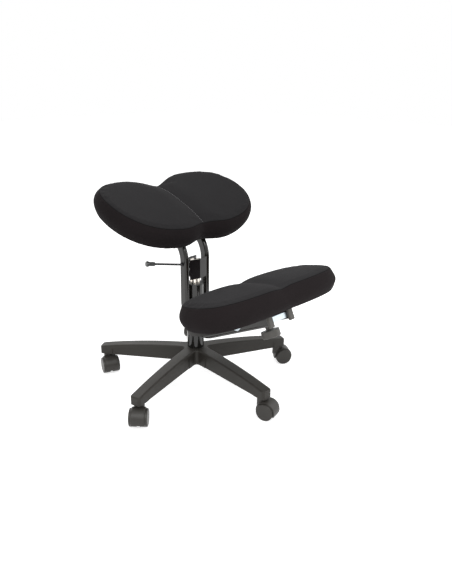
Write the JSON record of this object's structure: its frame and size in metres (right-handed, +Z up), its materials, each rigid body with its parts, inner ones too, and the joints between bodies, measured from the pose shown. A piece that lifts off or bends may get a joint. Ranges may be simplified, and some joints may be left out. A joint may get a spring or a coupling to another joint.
{
  "type": "kneeling chair",
  "caption": "Height-adjustable kneeling chair: a lobed padded seat tilting forward over a sliding padded knee rest, on bent twin tubes, a gas lift and a wheeled star base",
  "frame": {"origin": "on the floor, under the centre of the chair's box; the gas lift's axis is 3 mm towards +X and 39 mm towards +Y of it", "axes": "+Z up; the sitter faces -Y; +X is the sitter's left and the box's longest side"},
  "size_m": [0.6378, 0.5972, 0.5972],
  "materials": {
    "base_plastic": "fine moulded grain, satin",
    "caster_plastic": "smooth moulded plastic, satin",
    "steel_parts": "machined steel",
    "black_gloss_paint": "gloss black powder coat",
    "column_paint": "gloss black powder coat",
    "cylinder_chrome": "hard chrome, ground and polished",
    "zinc_plate": "blue-passivated zinc plate",
    "dark_plastic": "moulded plastic, satin",
    "bearing_plastic": "acetal, smooth",
    "rubber_trim": "soft rubber",
    "lever_paint": "gloss black coat",
    "grip_plastic": "grey moulded grip",
    "plywood": "moulded plywood, raw",
    "charcoal_fabric": "fine woven upholstery over foam"
  },
  "bodies": {
    "base": {"star_base": "base_plastic", "stem_sleeves": "steel_parts", "base_column": "column_paint", "guide_bush": "bearing_plastic", "thrust_bearing": "steel_parts"},
    "lift_rod": {"piston_rod": "steel_parts", "rod_clip": "steel_parts", "rubber_buffer": "rubber_trim"},
    "frame": {"gas_cylinder": "cylinder_chrome", "lift_socket": "black_gloss_paint", "left_frame_tube": "black_gloss_paint", "right_frame_tube": "black_gloss_paint", "left_arm_cap": "dark_plastic", "right_arm_cap": "dark_plastic", "tail_plugs": "dark_plastic", "front_cover": "black_gloss_paint", "lever_grommet": "rubber_trim", "seat_plate": "black_gloss_paint", "seat_board": "plywood", "seat_fixings": "zinc_plate", "seat_cushion": "charcoal_fabric", "arm_bridge": "zinc_plate"},
    "valve_pin": {"release_pin": "steel_parts"},
    "lever": {"height_lever": "lever_paint", "lever_grip": "grip_plastic"},
    "knee_rest": {"knee_plate": "zinc_plate", "knee_carriage": "black_gloss_paint", "slide_shoes": "bearing_plastic", "knee_board": "plywood", "knee_fixings": "zinc_plate", "knee_cushion": "charcoal_fabric"},
    "clamp": {"clamp_knob": "dark_plastic", "clamp_stud": "steel_parts"},
    "caster_1": {"caster_1_hood": "caster_plastic", "caster_1_stem": "steel_parts", "caster_1_axle": "steel_parts"},
    "caster_1_left": {"caster_1_left_wheel": "caster_plastic"},
    "caster_1_right": {"caster_1_right_wheel": "caster_plastic"},
    "caster_2": {"caster_2_hood": "caster_plastic", "caster_2_stem": "steel_parts", "caster_2_axle": "steel_parts"},
    "caster_2_left": {"caster_2_left_wheel": "caster_plastic"},
    "caster_2_right": {"caster_2_right_wheel": "caster_plastic"},
    "caster_3": {"caster_3_hood": "caster_plastic", "caster_3_stem": "steel_parts", "caster_3_axle": "steel_parts"},
    "caster_3_left": {"caster_3_left_wheel": "caster_plastic"},
    "caster_3_right": {"caster_3_right_wheel": "caster_plastic"},
    "caster_4": {"caster_4_hood": "caster_plastic", "caster_4_stem": "steel_parts", "caster_4_axle": "steel_parts"},
    "caster_4_left": {"caster_4_left_wheel": "caster_plastic"},
    "caster_4_right": {"caster_4_right_wheel": "caster_plastic"},
    "caster_5": {"caster_5_hood": "caster_plastic", "caster_5_stem": "steel_parts", "caster_5_axle": "steel_parts"},
    "caster_5_left": {"caster_5_left_wheel": "caster_plastic"},
    "caster_5_right": {"caster_5_right_wheel": "caster_plastic"}
  },
  "joints": [
    {"name": "chair_swivel", "type": "hinge", "parent": "base", "child": "lift_rod", "pos_m": [0.00284, 0.0388, 0.08], "axis": [0, 0, 1], "continuous": true},
    {"name": "height_slide", "type": "slide", "parent": "lift_rod", "child": "frame", "axis": [0, 0, 1], "range_m": [-0.015, 0.11]},
    {"name": "valve_slide", "type": "slide", "parent": "frame", "child": "valve_pin", "axis": [0, 0, 1], "range_m": [-0.0028, 0]},
    {"name": "lever_lift", "type": "hinge", "parent": "frame", "child": "lever", "pos_m": [-0.03666, 0.0388, 0.382], "axis": [0, 1, 0], "range_deg": [0, 4], "stiffness_Nm_per_rad": 3, "springref_deg": -1.72},
    {"name": "knee_slide", "type": "slide", "parent": "frame", "child": "knee_rest", "axis": [0, -0.8988, 0.4384], "range_m": [-0.03, 0.02]},
    {"name": "clamp_turn", "type": "hinge", "parent": "knee_rest", "child": "clamp", "pos_m": [0.00284, -0.24165, 0.28476], "axis": [0, 0.4384, 0.8988], "continuous": true},
    {"name": "caster_1_swivel", "type": "hinge", "parent": "base", "child": "caster_1", "pos_m": [0.17947, 0.26246, 0.06], "axis": [0, 0, 1], "continuous": true},
    {"name": "caster_1_left_roll", "type": "hinge", "parent": "caster_1", "child": "caster_1_left", "pos_m": [0.19686, 0.26712, 0.025], "axis": [-0.2588, 0.9659, 0], "continuous": true},
    {"name": "caster_1_right_roll", "type": "hinge", "parent": "caster_1", "child": "caster_1_right", "pos_m": [0.19686, 0.26712, 0.025], "axis": [-0.2588, 0.9659, 0], "continuous": true},
    {"name": "caster_2_swivel", "type": "hinge", "parent": "base", "child": "caster_2", "pos_m": [-0.15529, 0.27591, 0.06], "axis": [0, 0, 1], "continuous": true},
    {"name": "caster_2_left_roll", "type": "hinge", "parent": "caster_2", "child": "caster_2_left", "pos_m": [-0.16174, 0.2591, 0.025], "axis": [0.9336, -0.3584, 0], "continuous": true},
    {"name": "caster_2_right_roll", "type": "hinge", "parent": "caster_2", "child": "caster_2_right", "pos_m": [-0.16174, 0.2591, 0.025], "axis": [0.9336, -0.3584, 0], "continuous": true},
    {"name": "caster_3_swivel", "type": "hinge", "parent": "base", "child": "caster_3", "pos_m": [-0.27153, -0.03832, 0.06], "axis": [0, 0, 1], "continuous": true},
    {"name": "caster_3_left_roll", "type": "hinge", "parent": "caster_3", "child": "caster_3_left", "pos_m": [-0.28448, -0.05083, 0.025], "axis": [0.6947, -0.7193, 0], "continuous": true},
    {"name": "caster_3_right_roll", "type": "hinge", "parent": "caster_3", "child": "caster_3_right", "pos_m": [-0.28448, -0.05083, 0.025], "axis": [0.6947, -0.7193, 0], "continuous": true},
    {"name": "caster_4_swivel", "type": "hinge", "parent": "base", "child": "caster_4", "pos_m": [-0.0086, -0.24597, 0.06], "axis": [0, 0, 1], "continuous": true},
    {"name": "caster_4_left_roll", "type": "hinge", "parent": "caster_4", "child": "caster_4_left", "pos_m": [-0.00394, -0.26336, 0.025], "axis": [0.9659, 0.2588, 0], "continuous": true},
    {"name": "caster_4_right_roll", "type": "hinge", "parent": "caster_4", "child": "caster_4_right", "pos_m": [-0.00394, -0.26336, 0.025], "axis": [0.9659, 0.2588, 0], "continuous": true},
    {"name": "caster_5_swivel", "type": "hinge", "parent": "base", "child": "caster_5", "pos_m": [0.27013, -0.06008, 0.06], "axis": [0, 0, 1], "continuous": true},
    {"name": "caster_5_left_roll", "type": "hinge", "parent": "caster_5", "child": "caster_5_left", "pos_m": [0.28523, -0.06988, 0.025], "axis": [0.5446, 0.8387, 0], "continuous": true},
    {"name": "caster_5_right_roll", "type": "hinge", "parent": "caster_5", "child": "caster_5_right", "pos_m": [0.28523, -0.06988, 0.025], "axis": [0.5446, 0.8387, 0], "continuous": true}
  ],
  "couplings": [
    {"joint": "valve_slide", "follows": "lever_lift", "m_per_rad": -0.0395}
  ]
}
